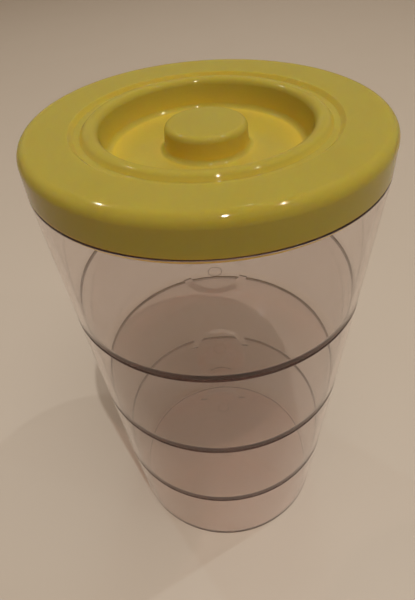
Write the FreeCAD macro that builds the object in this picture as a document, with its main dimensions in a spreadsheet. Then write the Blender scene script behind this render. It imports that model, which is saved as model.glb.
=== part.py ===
import FreeCAD, Part
import os
import re
import Sketcher

# Stacking food canister: four clear tapered tubs, each standing in the mouth of the one below, and a moulded lid.
# Millimetres, +Z up, origin on the table under the common axis.

sizes = {
    # outer radius at the lid, and how far each tub's wall leans out from its ledge to its rim
    "mouth_radius": 65.0,
    "top_tub_flare": 3.4,
    "upper_tub_flare": 3.4,
    "lower_tub_flare": 3.1,
    "bottom_tub_flare": 3.5,
    # height of each tub from its ledge to its rim
    "bottom_tub_height": 45.7,
    "lower_tub_height": 48.75,
    "upper_tub_height": 51.0,
    "top_tub_height": 55.4,
    # tub sections, the floor measured above the ledge
    "tub_wall": 2.2,
    "tub_floor": 1.7,
    "tub_edge_round": 0.4,
    "tub_rim_round": 0.8,
    "tub_floor_round": 0.8,
    # stepped base under each tub's ledge, and its play in the mouth below
    "base_step": 1.6,
    "mouth_play": 0.3,
    # shallow round recess under the middle of each floor, with the stub of the moulding gate in it
    "recess_radius": 14.3,
    "recess_taper": 3.2,
    "recess_depth": 0.5,
    "gate_radius": 3.0,
    "gate_length": 0.35,
    # plug ring under the lid
    "plug_depth": 2.5,
    "plug_wall": 2.0,
    # lid shell
    "lid_height": 13.5,
    "lid_wall": 2.0,
    "lid_edge_round": 4.0,
    "lid_foot_round": 0.4,
    "lid_inside_round": 1.0,
    "plug_shoulder": 1.5,
    # rings of the lid's top, from the outside in: sloping land, groove, bead, slope of the finger dish
    "land_width": 17.4,
    "land_fall": 0.6,
    "groove_width": 3.8,
    "groove_depth": 1.5,
    "groove_round": 0.7,
    "bead_width": 6.0,
    "bead_rise": 1.9,
    "bead_round": 2.7,
    "dish_slope_width": 1.9,
    "dish_depth": 11.0,
    "dish_round": 2.4,
    # knob in the middle of the finger dish
    "knob_radius": 15.2,
    "knob_height": 8.9,
    "knob_taper": 0.5,
    "knob_foot_round": 2.0,
    "knob_top_round": 2.4,
}

# tubs from the table up
tubs = ["bottom_tub", "lower_tub", "upper_tub", "top_tub"]

doc = FreeCAD.newDocument("FoodCanister")
sheet = doc.addObject("Spreadsheet::Sheet", "Sizes")
for row, (alias, number) in enumerate(sizes.items(), 1):
    sheet.set(f"A{row}", alias)
    sheet.set(f"B{row}", str(number))
    sheet.setAlias(f"B{row}", alias)
doc.recompute()


def formula(text):
    """Puts the sheet's name before each alias in a formula."""
    return re.sub(r"[a-z_]+", lambda word: f"Sizes.{word[0]}" if word[0] in sizes else word[0], text)


def value(text):
    return float(sheet.evalExpression(formula(text)))


def origin_plane(body, role):
    return next(feature for feature in body.Origin.OriginFeatures if feature.Role == role)


def hold(sketch, line, axis, text):
    """Ties the start of a profile line to a formula along one axis, or to the axis line itself where it is zero."""
    if text == "0":
        axis_line = -2 if axis == "X" else -1
        sketch.addConstraint(Sketcher.Constraint("PointOnObject", line, 1, axis_line))
        return
    index = sketch.addConstraint(Sketcher.Constraint("Distance" + axis, -1, 1, line, 1, value(text)))
    sketch.setExpression(f"Constraints[{index}]", formula(text))


def turned_body(label, corners, stands_at):
    """A body turned about Z from a closed profile of (radius, height) corners."""
    body = doc.addObject("PartDesign::Body", label)
    body.Label = label
    sketch = body.newObject("Sketcher::SketchObject", label + "_profile")
    sketch.AttachmentSupport = (origin_plane(body, "XZ_Plane"), [""])
    sketch.MapMode = "FlatFace"
    points = [FreeCAD.Vector(value(radius), value(rise), 0) for radius, rise in corners]
    for start, end in zip(points, points[1:] + points[:1]):
        sketch.addGeometry(Part.LineSegment(start, end), False)
    for line in range(len(points)):
        following = (line + 1) % len(points)
        sketch.addConstraint(Sketcher.Constraint("Coincident", line, 2, following, 1))
    for line, (radius, rise) in enumerate(corners):
        hold(sketch, line, "X", radius)
        hold(sketch, line, "Y", rise)
    turn = body.newObject("PartDesign::Revolution", label + "_turn")
    turn.Profile = sketch
    turn.ReferenceAxis = (sketch, ["V_Axis"])
    turn.Angle = 360
    body.setExpression("Placement.Base.z", formula(stands_at))
    doc.recompute()
    return body


def round_rings(body, name, rounding, *rings):
    """Rounds the ring edges of a body that lie at the given (radius, height) corners."""
    base = body.Tip
    edges = []
    for radius, rise in rings:
        spot = Part.Vertex(value(radius), 0, value(rise))
        for number, edge in enumerate(base.Shape.Edges, 1):
            is_ring = isinstance(edge.Curve, Part.Circle) and edge.isClosed()
            if is_ring and edge.distToShape(spot)[0] < 1e-4:
                edges.append(f"Edge{number}")
    if len(edges) != len(rings):
        raise RuntimeError(f"{body.Label}: {len(edges)} of {len(rings)} edges found for {name}")
    fillet = body.newObject("PartDesign::Fillet", f"{body.Label}_{name}")
    fillet.Base = (base, edges)
    fillet.setExpression("Radius", formula(rounding))
    doc.recompute()


def wall_draft(label):
    """How far a tub's wall leans out for each millimetre of its height."""
    return f"({label}_flare / {label}_height)"


def entering_radii(ledge_radius, depth, mouth_draft):
    """Outer radius at the top and at the foot of a ring that enters a drafted mouth."""
    top = f"{ledge_radius} - tub_wall - mouth_play"
    return top, f"{top} - {depth} * {mouth_draft}"


def make_tub(label, rim, mouth_draft, stands_at):
    """A tub with its stepped base at the bottom, its ledge above the step and its rim on top."""
    base = f"{rim} - {label}_flare"
    draft = wall_draft(label)
    step_top, step_foot = entering_radii(base, "base_step", mouth_draft)
    ledge = "base_step"
    floor_top = f"{ledge} + tub_floor"
    rim_top = f"{ledge} + {label}_height"
    gate_foot = "recess_depth - gate_length"

    floor_corner = (f"{base} - tub_wall + tub_floor * {draft}", floor_top)
    rim_inner = (f"{rim} - tub_wall", rim_top)
    rim_outer = (rim, rim_top)
    ledge_outer = (base, ledge)
    step_edge = (step_foot, "0")
    recess_mouth = ("recess_radius", "0")
    gate_edge = ("gate_radius", gate_foot)
    body = turned_body(
        label,
        [
            ("0", floor_top),
            floor_corner,
            rim_inner,
            rim_outer,
            ledge_outer,
            (step_top, ledge),
            step_edge,
            recess_mouth,
            ("recess_radius - recess_taper", "recess_depth"),
            ("gate_radius", "recess_depth"),
            gate_edge,
            ("0", gate_foot),
        ],
        stands_at,
    )
    round_rings(body, "rim_round", "tub_rim_round", rim_inner, rim_outer)
    round_rings(body, "edge_round", "tub_edge_round", ledge_outer, step_edge, recess_mouth)
    round_rings(body, "gate_round", "min(tub_edge_round; 0.6 * gate_length)", gate_edge)
    round_rings(body, "floor_round", "tub_floor_round", floor_corner)
    return body


def make_lid(label, mouth_draft, stands_at):
    """The lid with its plug ring at the bottom, its skirt on the rim of the tub below and its top worked inwards."""
    plug_top, plug_foot = entering_radii("mouth_radius", "plug_depth", mouth_draft)
    plug_inner = f"{plug_foot} - plug_wall"
    ledge = "plug_depth"
    top = f"{ledge} + lid_height"
    shoulder = f"{ledge} + plug_shoulder"
    skirt_inner = "mouth_radius - lid_wall"
    groove_radius = "mouth_radius - land_width"
    bead_radius = f"{groove_radius} - groove_width"
    dish_radius = f"{bead_radius} - bead_width"
    dish_floor_radius = f"{dish_radius} - dish_slope_width"
    knob_top_radius = "knob_radius - knob_taper"
    land_foot = f"{top} - land_fall"
    groove_floor = f"{land_foot} - groove_depth"
    bead_top = f"{groove_floor} + bead_rise"
    dish_floor = f"{top} - dish_depth"
    knob_top = f"{dish_floor} + knob_height"
    under_groove = f"{groove_floor} - lid_wall"
    under_dish = f"{dish_floor} - lid_wall"
    under_knob = f"{knob_top} - lid_wall"

    knob_edge = (knob_top_radius, knob_top)
    knob_foot = ("knob_radius", dish_floor)
    dish_corner = (dish_floor_radius, dish_floor)
    bead_inner = (dish_radius, bead_top)
    bead_outer = (f"{bead_radius} - bead_rise", bead_top)
    groove_inner = (bead_radius, groove_floor)
    groove_outer = (f"{groove_radius} - groove_depth", groove_floor)
    land_inner = (groove_radius, land_foot)
    outer_edge = ("mouth_radius", top)
    skirt_foot = ("mouth_radius", ledge)
    plug_outer_foot = (plug_foot, "0")
    plug_inner_foot = (plug_inner, "0")
    inner_edge = (skirt_inner, f"{top} - lid_wall")
    hollow_corners = [
        (f"{dish_radius} + lid_wall", under_groove),
        (f"{dish_floor_radius} + lid_wall", under_dish),
        ("knob_radius - lid_wall", under_dish),
        (f"{knob_top_radius} - lid_wall", under_knob),
    ]
    body = turned_body(
        label,
        [
            ("0", knob_top),
            knob_edge,
            knob_foot,
            dish_corner,
            bead_inner,
            bead_outer,
            groove_inner,
            groove_outer,
            land_inner,
            outer_edge,
            skirt_foot,
            (plug_top, ledge),
            plug_outer_foot,
            plug_inner_foot,
            (plug_inner, shoulder),
            (skirt_inner, f"{shoulder} + ({skirt_inner}) - ({plug_inner})"),
            inner_edge,
            (f"{groove_radius} + lid_wall", f"{land_foot} - lid_wall"),
            (groove_radius, under_groove),
            *hollow_corners,
            ("0", under_knob),
        ],
        stands_at,
    )
    bead_limit = "min(bead_round; 0.68 * (bead_width - bead_rise); 3 * bead_rise - groove_round)"
    round_rings(body, "foot_round", "lid_foot_round", skirt_foot, plug_outer_foot, plug_inner_foot)
    round_rings(body, "groove_round", "groove_round", groove_inner, groove_outer, land_inner)
    round_rings(body, "bead_round", bead_limit, bead_inner, bead_outer)
    round_rings(body, "dish_round", "dish_round", dish_corner)
    round_rings(body, "knob_foot_round", "knob_foot_round", knob_foot)
    round_rings(body, "knob_top_round", "knob_top_round", knob_edge)
    round_rings(body, "edge_round", "lid_edge_round", outer_edge)
    round_rings(body, "inner_edge_round", "lid_edge_round - lid_wall", inner_edge)
    round_rings(body, "inside_round", "lid_inside_round", *hollow_corners)
    return body


pieces = []
stands_at = "0"
below = tubs[0]  # the lowest step enters no mouth and is drafted like its own tub
for number, label in enumerate(tubs):
    rim = " - ".join(["mouth_radius"] + [f"{wider}_flare" for wider in tubs[number + 1:]])
    pieces.append(make_tub(label, rim, wall_draft(below), stands_at))
    stands_at = f"{stands_at} + {label}_height"
    below = label
pieces.append(make_lid("lid", wall_draft(below), f"{stands_at} + base_step - plug_depth"))

doc.recompute()
for item in doc.Objects:
    if "Invalid" in item.State or "Error" in item.State:
        raise RuntimeError(f"{item.Name} failed: {item.State}")
for piece in pieces:
    if piece.Shape.isNull() or not piece.Shape.isValid():
        raise RuntimeError(f"{piece.Label} has no valid shape")

os.makedirs("parts", exist_ok=True)
for piece in pieces:
    piece.Shape.exportStep(f"parts/{piece.Label}.step")
    box = piece.Shape.optimalBoundingBox()
    print(f"{piece.Label}: {box.XLength:.2f} mm across, from {box.ZMin:.2f} to {box.ZMax:.2f} mm high")
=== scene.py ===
import math

import bpy
import numpy as np
from mathutils import Matrix, Vector


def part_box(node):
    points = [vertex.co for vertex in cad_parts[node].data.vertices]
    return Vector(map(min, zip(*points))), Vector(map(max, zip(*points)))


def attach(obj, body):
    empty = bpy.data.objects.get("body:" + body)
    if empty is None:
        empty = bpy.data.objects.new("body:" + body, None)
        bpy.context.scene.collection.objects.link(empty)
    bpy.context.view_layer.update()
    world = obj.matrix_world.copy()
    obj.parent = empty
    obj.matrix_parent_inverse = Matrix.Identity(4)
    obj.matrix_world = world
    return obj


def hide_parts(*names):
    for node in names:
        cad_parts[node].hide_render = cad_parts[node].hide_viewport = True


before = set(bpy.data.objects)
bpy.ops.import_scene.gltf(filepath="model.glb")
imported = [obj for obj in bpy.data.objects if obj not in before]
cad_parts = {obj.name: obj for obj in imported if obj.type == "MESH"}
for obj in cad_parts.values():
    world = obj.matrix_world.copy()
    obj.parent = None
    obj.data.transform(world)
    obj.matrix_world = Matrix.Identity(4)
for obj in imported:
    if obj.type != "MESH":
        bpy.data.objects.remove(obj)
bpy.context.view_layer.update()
scene = bpy.context.scene
print("frame:", ", ".join(sorted(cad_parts)))


# Rounded profile: each corner (radius, height, rounding) gives way to an arc that leaves one side and
# meets the next tangentially. With along the incoming side and left its left-hand normal, an arc point is
# start + rounding * (sin(phi) * along + (1 - cos(phi)) * left), phi going from 0 to the corner's turn.
# The outward normal is the running direction turned a quarter turn to the left.
def roundedProfile(corners, arcPoints):
    corners = np.asarray(corners, float)
    spots = corners[:, :2]
    sides = np.diff(spots, axis=0)
    sides /= np.linalg.norm(sides, axis=1, keepdims=True)
    along, onward = sides[:-1], sides[1:]
    left = np.stack([-along[:, 1], along[:, 0]], axis=1)
    turn = np.arctan2((left * onward).sum(1), (along * onward).sum(1))
    rounding = corners[1:-1, 2]
    start = spots[1:-1] - along * (rounding * np.tan(np.abs(turn) / 2))[:, None]
    phi = turn[:, None] * np.linspace(0, 1, arcPoints)
    sine, cosine = np.sin(phi)[..., None], np.cos(phi)[..., None]
    bend = (rounding * np.sign(turn))[:, None, None]
    arcs = start[:, None] + bend * (sine * along[:, None] + (1 - cosine) * left[:, None])
    running = cosine * along[:, None] + sine * left[:, None]
    profile = np.concatenate([spots[:1], arcs.reshape(-1, 2), spots[-1:]])
    running = np.concatenate([sides[:1], running.reshape(-1, 2), sides[-1:]])
    return profile, np.stack([-running[:, 1], running[:, 0]], axis=1)


# Turned surface: the profile point at step s, swung about Z by the angle t, lies at
# (radius(s) * cos(t), radius(s) * sin(t), height(s)). Both ends of the profile lie on the axis, and each
# of them closes as one pole with a fan of triangles. Normals swing the same way.
def turnedPiece(name, profile, outward, steps):
    angle = np.arange(steps) * (2 * math.pi / steps)
    cosine, sine = np.cos(angle), np.sin(angle)

    def swing(pairs):
        across = pairs[:, :1]
        rise = np.repeat(pairs[:, 1:], steps, axis=1)
        return np.stack([across * cosine, across * sine, rise], axis=2)

    rings = len(profile) - 2
    poles = np.array([[0, 0, profile[0, 1]], [0, 0, profile[-1, 1]]])
    spots = np.concatenate([swing(profile[1:-1]).reshape(-1, 3), poles])
    normals = np.concatenate([swing(outward[1:-1]).reshape(-1, 3), [[0, 0, 1], [0, 0, -1]]])

    grid = np.arange(rings * steps).reshape(rings, steps)
    beside = np.roll(grid, -1, axis=1)
    quads = np.stack([grid[:-1], grid[1:], beside[1:], beside[:-1]], axis=2).reshape(-1, 4)
    topPole = np.full(steps, rings * steps)
    topFan = np.stack([topPole, grid[0], beside[0]], axis=1)
    bottomFan = np.stack([topPole + 1, beside[-1], grid[-1]], axis=1)

    mesh = bpy.data.meshes.new(name)
    mesh.from_pydata(spots.tolist(), [], quads.tolist() + topFan.tolist() + bottomFan.tolist())
    mesh.shade_smooth()
    mesh.normals_split_custom_set_from_vertices(normals.tolist())
    piece = bpy.data.objects.new(name, mesh)
    scene.collection.objects.link(piece)
    return piece


def newMaterial(name):
    material = bpy.data.materials.new(name)
    material.use_nodes = True
    material.node_tree.nodes.clear()
    return material, material.node_tree


def feed(tree, socket, setting):
    if isinstance(setting, bpy.types.NodeSocket):
        tree.links.new(setting, socket)
    else:
        socket.default_value = setting


def addNode(tree, kind, settings=(), **sockets):
    node = tree.nodes.new(kind)
    for key, setting in dict(settings).items():
        setattr(node, key, setting)
    for label, setting in sockets.items():
        feed(tree, node.inputs[label.replace("_", " ")], setting)
    return node


mixSockets = dict(first=6, second=7, result=2)  # the colour sockets of a mix node


# Mixed colour: first * (1 - factor) + second * factor
def mixColours(tree, factor, first, second):
    mix = addNode(tree, "ShaderNodeMix", {"data_type": "RGBA"}, Factor=factor)
    feed(tree, mix.inputs[mixSockets["first"]], first)
    feed(tree, mix.inputs[mixSockets["second"]], second)
    return mix.outputs[mixSockets["result"]]


# Four clear tubs, each standing in the mouth of the one below it
tubs = dict(
    names=["bottom_tub", "lower_tub", "upper_tub", "top_tub"],  # from the table up
    flare=[0.0035, 0.0031, 0.0034, 0.0034],  # how far each wall leans out from ledge to rim
    wall=0.0022,
    floor=0.0017,  # above the ledge
    baseStep=0.0016,
    mouthPlay=0.0003,
    edgeRound=0.0004,
    ledgeRound=0.0010,
    rimRound=0.0008,
    cornerRound=0.00015,  # inner corners that stay sharp to the eye
    floorRound=0.0008,
    recessRadius=0.0143,
    recessTaper=0.0032,
    recessDepth=0.0005,
    gateRadius=0.0030,
    gateLength=0.00035,
    gateRound=0.00021,
    restGap=0.00004,  # air under a ledge that stands on a rim
    arcPoints=9,
    steps=256,
)

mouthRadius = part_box("lid")[1].x
rimRadii = mouthRadius - np.append(np.cumsum(tubs["flare"][:0:-1])[::-1], 0)


def wallDraft(index):
    low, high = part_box(tubs["names"][index])
    return tubs["flare"][index] / (high.z - low.z - tubs["baseStep"])


def makeTub(index):
    name = tubs["names"][index]
    low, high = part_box(name)
    wall, gap = tubs["wall"], tubs["restGap"]
    rim, base = rimRadii[index], rimRadii[index] - tubs["flare"][index]
    foot, rimTop = low.z, high.z
    ledge = foot + tubs["baseStep"]
    floorTop = ledge + tubs["floor"]
    recessTop = foot + tubs["recessDepth"]
    gateFoot = recessTop - tubs["gateLength"]
    stepTop = base - wall - tubs["mouthPlay"]
    below = max(index - 1, 0)  # the lowest step leans like its own tub
    stepFoot = stepTop - tubs["baseStep"] * wallDraft(below)
    edge, corner = tubs["edgeRound"], tubs["cornerRound"]
    profile, outward = roundedProfile(
        [
            (0, floorTop, 0),
            (base - wall + tubs["floor"] * wallDraft(index), floorTop, tubs["floorRound"]),
            (rim - wall, rimTop, tubs["rimRound"]),
            (rim, rimTop, tubs["rimRound"]),
            (base, ledge + gap, tubs["ledgeRound"]),
            (stepTop, ledge + gap, corner),
            (stepFoot, foot, edge),
            (tubs["recessRadius"], foot, edge),
            (tubs["recessRadius"] - tubs["recessTaper"], recessTop, corner),
            (tubs["gateRadius"], recessTop, corner),
            (tubs["gateRadius"], gateFoot, tubs["gateRound"]),
            (0, gateFoot, 0),
        ],
        tubs["arcPoints"],
    )
    tub = turnedPiece("clear_" + name, profile, outward, tubs["steps"])
    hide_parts(name)
    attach(tub, name)
    return tub


clearTubs = [makeTub(index) for index in range(len(tubs["names"]))]
print("tubs:", len(clearTubs), "turned")


# Yellow lid, moulded in one with its knob
lidSizes = dict(
    height=0.0135,
    wall=0.0020,
    edgeRound=0.0040,
    footRound=0.0004,
    insideRound=0.0010,
    plugDepth=0.0025,
    plugWall=0.0020,
    plugShoulder=0.0015,
    landWidth=0.0174,
    landFall=0.0006,
    grooveWidth=0.0038,
    grooveDepth=0.0015,
    grooveRound=0.0007,
    beadWidth=0.0060,
    beadRise=0.0019,
    beadRound=0.0027,
    dishSlopeWidth=0.0019,
    dishDepth=0.0110,
    dishRound=0.0024,
    knobRadius=0.0152,
    knobHeight=0.0089,
    knobTaper=0.0005,
    knobFootRound=0.0020,
    knobTopRound=0.0024,
    arcPoints=13,
    steps=256,
)


def makeLid():
    sizes = lidSizes
    wall, gap = sizes["wall"], tubs["restGap"]
    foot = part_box("lid")[0].z
    ledge = foot + sizes["plugDepth"]
    top = ledge + sizes["height"]
    shoulder = ledge + sizes["plugShoulder"]
    plugTop = mouthRadius - tubs["wall"] - tubs["mouthPlay"]
    plugFoot = plugTop - sizes["plugDepth"] * wallDraft(-1)
    plugInner = plugFoot - sizes["plugWall"]
    skirtInner = mouthRadius - wall
    grooveRadius = mouthRadius - sizes["landWidth"]
    beadRadius = grooveRadius - sizes["grooveWidth"]
    dishRadius = beadRadius - sizes["beadWidth"]
    dishFloorRadius = dishRadius - sizes["dishSlopeWidth"]
    knobTopRadius = sizes["knobRadius"] - sizes["knobTaper"]
    landFoot = top - sizes["landFall"]
    grooveFloor = landFoot - sizes["grooveDepth"]
    beadTop = grooveFloor + sizes["beadRise"]
    dishFloor = top - sizes["dishDepth"]
    knobTop = dishFloor + sizes["knobHeight"]
    groove, inside, footRound = sizes["grooveRound"], sizes["insideRound"], sizes["footRound"]
    profile, outward = roundedProfile(
        [
            (0, knobTop, 0),
            (knobTopRadius, knobTop, sizes["knobTopRound"]),
            (sizes["knobRadius"], dishFloor, sizes["knobFootRound"]),
            (dishFloorRadius, dishFloor, sizes["dishRound"]),
            (dishRadius, beadTop, sizes["beadRound"]),
            (beadRadius - sizes["beadRise"], beadTop, sizes["beadRound"]),
            (beadRadius, grooveFloor, groove),
            (grooveRadius - sizes["grooveDepth"], grooveFloor, groove),
            (grooveRadius, landFoot, groove),
            (mouthRadius, top, sizes["edgeRound"]),
            (mouthRadius, ledge + gap, footRound),
            (plugTop, ledge + gap, footRound),
            (plugFoot, foot, footRound),
            (plugInner, foot, footRound),
            (plugInner, shoulder, footRound),
            (skirtInner, shoulder + skirtInner - plugInner, footRound),
            (skirtInner, top - wall, sizes["edgeRound"] - wall),
            (grooveRadius + wall, landFoot - wall, footRound),
            (grooveRadius, grooveFloor - wall, footRound),
            (dishRadius + wall, grooveFloor - wall, inside),
            (dishFloorRadius + wall, dishFloor - wall, inside),
            (sizes["knobRadius"] - wall, dishFloor - wall, inside),
            (knobTopRadius - wall, knobTop - wall, inside),
            (0, knobTop - wall, 0),
        ],
        sizes["arcPoints"],
    )
    lid = turnedPiece("yellow_lid", profile, outward, sizes["steps"])
    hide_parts("lid")
    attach(lid, "lid")
    return lid


yellowLid = makeLid()
print("lid: turned")


# Clear styrene with a faint plum tint that deepens with the length of the way through it
clearLooks = dict(
    ior=1.57,
    clear=(0.957, 0.945, 0.940, 1),
    tint=(0.735, 0.605, 0.575, 1),
    tintDensity=60.0,
    passTint=(0.965, 0.953, 0.947, 1),  # light that passes one face of a wall
    smoothRoughness=0.008,
    handledRoughness=0.04,
    smudgeScale=45.0,
    smudgeDetail=6.0,
    smudgeRange=(0.5, 0.8),  # noise from clean to smudged
    waveScale=28.0,
    waveDetail=1.0,
    waveDepth=0.00002,
)


def clearPlastic():
    material, tree = newMaterial("plum_clear_plastic")
    looks = clearLooks
    place = addNode(tree, "ShaderNodeTexCoord").outputs["Object"]
    smudge = addNode(
        tree, "ShaderNodeTexNoise", Vector=place, Scale=looks["smudgeScale"], Detail=looks["smudgeDetail"]
    )
    haze = addNode(
        tree,
        "ShaderNodeMapRange",
        Value=smudge.outputs["Fac"],
        From_Min=looks["smudgeRange"][0],
        From_Max=looks["smudgeRange"][1],
        To_Min=looks["smoothRoughness"],
        To_Max=looks["handledRoughness"],
    )
    wave = addNode(
        tree, "ShaderNodeTexNoise", Vector=place, Scale=looks["waveScale"], Detail=looks["waveDetail"]
    )
    bump = addNode(
        tree, "ShaderNodeBump", Height=wave.outputs["Fac"], Distance=looks["waveDepth"], Strength=1.0
    )
    glass = addNode(
        tree,
        "ShaderNodeBsdfPrincipled",
        Base_Color=looks["clear"],
        Roughness=haze.outputs["Result"],
        IOR=looks["ior"],
        Transmission_Weight=1.0,
        Normal=bump.outputs["Normal"],
    )
    passing = addNode(tree, "ShaderNodeBsdfTransparent", Color=looks["passTint"])
    path = addNode(tree, "ShaderNodeLightPath")
    surface = glass
    for ray in ("Is Diffuse Ray", "Is Shadow Ray"):
        mix = addNode(tree, "ShaderNodeMixShader", Fac=path.outputs[ray])
        tree.links.new(surface.outputs[0], mix.inputs[1])
        tree.links.new(passing.outputs[0], mix.inputs[2])
        surface = mix
    stain = addNode(
        tree, "ShaderNodeVolumeAbsorption", Color=looks["tint"], Density=looks["tintDensity"]
    )
    addNode(
        tree, "ShaderNodeOutputMaterial", Surface=surface.outputs[0], Volume=stain.outputs["Volume"]
    )
    return material


# Glossy yellow polypropylene, with painted light in its hollows
yellowLooks = dict(
    pale=(0.36, 0.300, 0.045, 1),
    deep=(0.33, 0.272, 0.039, 1),
    paintedHollowGlow=(0.76, 0.52, 0.055, 1),  # painted light: a lighter, warmer yellow painted into the hollows in place of light bouncing inside the translucent plastic
    paintedGlowReach=0.02,
    paintedGlowRange=(0.85, 0.35),  # openness where the painted glow begins and where it is full
    paintedGlowSamples=8,
    cloudScale=35.0,
    cloudDetail=3.0,
    ior=1.5,
    specularLevel=0.3,
    lightSpread=(1.0, 0.6, 0.1),  # how far red, green and blue travel inside
    lightReach=0.005,
    polishedRoughness=0.035,
    wornRoughness=0.08,
    wearScale=120.0,
    wearDetail=8.0,
    wearRange=(0.45, 0.75),  # noise from polished to worn
    peelScale=900.0,
    peelDetail=2.0,
    peelDepth=0.000008,
)


def yellowPlastic():
    material, tree = newMaterial("yellow_gloss_plastic")
    looks = yellowLooks
    place = addNode(tree, "ShaderNodeTexCoord").outputs["Object"]
    cloud = addNode(
        tree, "ShaderNodeTexNoise", Vector=place, Scale=looks["cloudScale"], Detail=looks["cloudDetail"]
    )
    colour = mixColours(tree, cloud.outputs["Fac"], looks["pale"], looks["deep"])
    # Painted light: where ambient occlusion finds the surface closed in, the base colour is mixed towards a
    # lighter, warmer yellow
    openness = addNode(
        tree, "ShaderNodeAmbientOcclusion", {"samples": looks["paintedGlowSamples"]}, Distance=looks["paintedGlowReach"]
    )
    paintedGlowMask = addNode(
        tree,
        "ShaderNodeMapRange",
        Value=openness.outputs["AO"],
        From_Min=looks["paintedGlowRange"][0],
        From_Max=looks["paintedGlowRange"][1],
    )
    colourWithPaintedGlow = mixColours(tree, paintedGlowMask.outputs["Result"], colour, looks["paintedHollowGlow"])
    wear = addNode(
        tree, "ShaderNodeTexNoise", Vector=place, Scale=looks["wearScale"], Detail=looks["wearDetail"]
    )
    roughness = addNode(
        tree,
        "ShaderNodeMapRange",
        Value=wear.outputs["Fac"],
        From_Min=looks["wearRange"][0],
        From_Max=looks["wearRange"][1],
        To_Min=looks["polishedRoughness"],
        To_Max=looks["wornRoughness"],
    )
    peel = addNode(
        tree, "ShaderNodeTexNoise", Vector=place, Scale=looks["peelScale"], Detail=looks["peelDetail"]
    )
    bump = addNode(
        tree, "ShaderNodeBump", Height=peel.outputs["Fac"], Distance=looks["peelDepth"], Strength=1.0
    )
    plastic = addNode(
        tree,
        "ShaderNodeBsdfPrincipled",
        Base_Color=colourWithPaintedGlow,
        Roughness=roughness.outputs["Result"],
        IOR=looks["ior"],
        Specular_IOR_Level=looks["specularLevel"],
        Subsurface_Weight=1.0,
        Subsurface_Radius=looks["lightSpread"],
        Subsurface_Scale=looks["lightReach"],
        Normal=bump.outputs["Normal"],
    )
    addNode(tree, "ShaderNodeOutputMaterial", Surface=plastic.outputs["BSDF"])
    return material


clearMaterial = clearPlastic()
for tub in clearTubs:
    tub.data.materials.append(clearMaterial)
yellowLid.data.materials.append(yellowPlastic())
print("materials: clear and yellow plastic")


# Pale table top
table = dict(
    size=12.0,
    drop=0.0002,
    pale=(0.47, 0.405, 0.325, 1),
    warm=(0.455, 0.39, 0.31, 1),
    cloudScale=9.0,
    cloudDetail=3.0,
    roughness=0.55,
)


# Flat square: corner points at plus and minus half the size
def makeTable():
    half = table["size"] / 2
    across, deep = np.meshgrid([-half, half], [-half, half])
    spots = np.stack([across.ravel(), deep.ravel(), np.full(4, -table["drop"])], axis=1)
    mesh = bpy.data.meshes.new("table")
    mesh.from_pydata(spots.tolist(), [], [(0, 1, 3, 2)])
    floor = bpy.data.objects.new("table", mesh)
    scene.collection.objects.link(floor)
    material, tree = newMaterial("pale_table")
    place = addNode(tree, "ShaderNodeTexCoord").outputs["Object"]
    cloud = addNode(
        tree, "ShaderNodeTexNoise", Vector=place, Scale=table["cloudScale"], Detail=table["cloudDetail"]
    )
    colour = mixColours(tree, cloud.outputs["Fac"], table["pale"], table["warm"])
    top = addNode(tree, "ShaderNodeBsdfPrincipled", Base_Color=colour, Roughness=table["roughness"])
    addNode(tree, "ShaderNodeOutputMaterial", Surface=top.outputs["BSDF"])
    mesh.materials.append(material)


makeTable()


# Lamps: bearing is measured from straight ahead towards the right, rise above the table
lamps = dict(
    aim=(0, 0, 0.15),
    rows=[  # name, bearing, rise, distance, width, watts
        ("keyLamp", 165, 69.6, 1.96, 0.025, 14.0),
        ("rightLamp", 76, 68, 2.00, 0.025, 3.3),
        ("leftLamp", -42, 52, 2.20, 0.02, 2.8),
        ("backLamp", 8, 42, 2.20, 0.02, 1.2),
        ("sideLamp", 120, 48, 2.20, 0.015, 1.2),
        ("rightSpark", 76, 68, 2.00, 0.03, 12.0),
        ("leftSpark", -42, 52, 2.20, 0.03, 10.0),
        ("softTop", 150, 72, 2.20, 1.60, 20.0),
        ("softBack", 10, 45, 1.80, 0.80, 4.0),
    ],
    unmirrored=["softTop", "softBack"],  # wide panels that leave no image in the gloss
    unseenThrough=["softTop", "softBack", "backLamp", "rightSpark", "leftSpark"],  # hidden behind clear walls
    sparkOnly=["rightSpark", "leftSpark"],  # seen in the gloss alone
    surround=(0.21, 0.12, 0.045, 1),
    backdrop=(0.22, 0.18, 0.14, 1),  # the surround as it is seen, mirrored and seen through the walls
)


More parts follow.
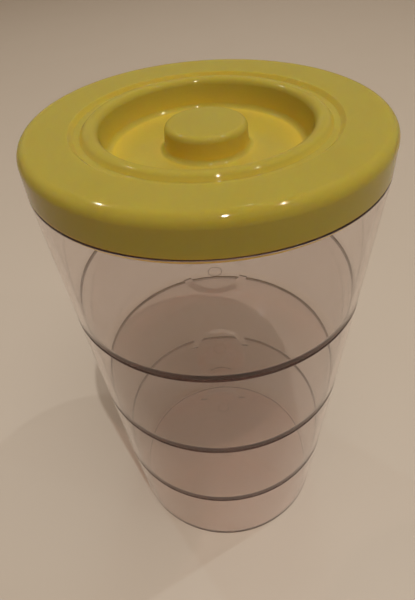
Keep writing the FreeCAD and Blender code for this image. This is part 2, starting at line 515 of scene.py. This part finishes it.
def makeLamps():
    aim = Vector(lamps["aim"])
    for name, bearing, rise, distance, width, watts in lamps["rows"]:
        a, e = math.radians(bearing), math.radians(rise)
        towards = Vector((math.sin(a) * math.cos(e), math.cos(a) * math.cos(e), math.sin(e)))
        light = bpy.data.lights.new(name, "AREA")
        light.shape = "DISK"
        light.size = width
        light.energy = watts
        lamp = bpy.data.objects.new(name, light)
        lamp.location = aim + towards * distance
        lamp.rotation_mode = "QUATERNION"
        lamp.rotation_quaternion = (-towards).to_track_quat("-Z", "Y")
        lamp.visible_glossy = name not in lamps["unmirrored"]
        lamp.visible_transmission = name not in lamps["unseenThrough"]
        lamp.visible_diffuse = name not in lamps["sparkOnly"]
        scene.collection.objects.link(lamp)
    world = bpy.data.worlds.new("surround")
    world.use_nodes = True
    tree = world.node_tree
    path = addNode(tree, "ShaderNodeLightPath")
    seen = path.outputs["Is Camera Ray"]
    for ray in ("Is Glossy Ray", "Is Transmission Ray"):
        either = addNode(tree, "ShaderNodeMath", {"operation": "MAXIMUM"})
        tree.links.new(seen, either.inputs[0])
        tree.links.new(path.outputs[ray], either.inputs[1])
        seen = either.outputs[0]
    colour = mixColours(tree, seen, lamps["surround"], lamps["backdrop"])
    tree.links.new(colour, tree.nodes["Background"].inputs["Color"])
    scene.world = world


makeLamps()
print("lamps:", len(lamps["rows"]))


# Camera at the photograph's viewing angle
cameraSetup = dict(
    place=(0, -0.17165, 0.28371),
    pitch=41.827,  # degrees below level
    yaw=-1.408,
    roll=-4.524,
    lens=30.0,
    sensor=36.0,
    nearest=0.01,
)


def makeCamera():
    pitch, yaw, roll = (math.radians(cameraSetup[key]) for key in ("pitch", "yaw", "roll"))
    ahead = Vector((math.sin(yaw) * math.cos(pitch), math.cos(yaw) * math.cos(pitch), -math.sin(pitch)))
    right = Vector((math.cos(yaw), -math.sin(yaw), 0))
    up = right.cross(ahead)
    tiltedRight = math.cos(roll) * right + math.sin(roll) * up
    tiltedUp = math.cos(roll) * up - math.sin(roll) * right
    data = bpy.data.cameras.new("camera")
    data.lens = cameraSetup["lens"]
    data.sensor_width = cameraSetup["sensor"]
    data.clip_start = cameraSetup["nearest"]
    camera = bpy.data.objects.new("camera", data)
    camera.matrix_world = Matrix.Translation(cameraSetup["place"]) @ Matrix(
        (tiltedRight, tiltedUp, -ahead)
    ).transposed().to_4x4()
    scene.collection.objects.link(camera)
    scene.camera = camera


makeCamera()
scene.view_settings.view_transform = "Standard"
# A sight line crosses many clear walls and may turn often inside them
bounceLimits = dict(max_bounces=160, transmission_bounces=128, transparent_max_bounces=48, glossy_bounces=128)
for key, limit in bounceLimits.items():
    setattr(scene.cycles, key, limit)
print("camera set")
